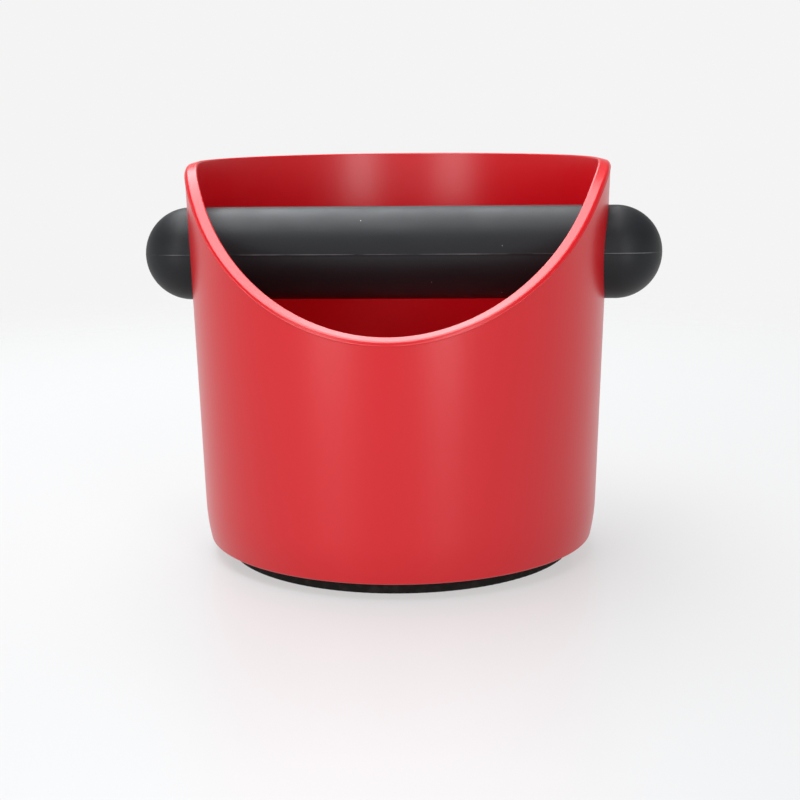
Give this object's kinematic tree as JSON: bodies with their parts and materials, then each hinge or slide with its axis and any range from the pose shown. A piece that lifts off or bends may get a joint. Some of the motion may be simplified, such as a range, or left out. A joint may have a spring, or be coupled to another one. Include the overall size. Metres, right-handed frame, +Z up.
{
  "type": "espresso knock box",
  "caption": "Countertop knock box for espresso grounds: drafted round tub with a scooped front, a rubber-covered steel bar that slides out sideways, and a rubber base ring.",
  "frame": {"origin": "the tub's axis on the resting plane, at the underside of the base ring", "axes": "+Z up, X along the knock bar, -Y towards the scooped front"},
  "size_m": [0.1725, 0.1382, 0.1307],
  "materials": {
    "tub_plastic": "satin red ABS with a fine moulded grain",
    "ring_rubber": "matte brownish-black moulded rubber",
    "bar_rubber": "satin charcoal rubber with a moulding line along its middle",
    "core_steel": "plain drawn steel rod, hidden inside the bar"
  },
  "bodies": {
    "housing": {"tub": "tub_plastic", "base_ring": "ring_rubber"},
    "bar": {"bar_cover": "bar_rubber", "bar_core": "core_steel"}
  },
  "joints": [
    {"name": "bar_slide", "type": "slide", "parent": "housing", "child": "bar", "axis": [1, 0, 0], "range_m": [-0.16, 0.16]}
  ]
}
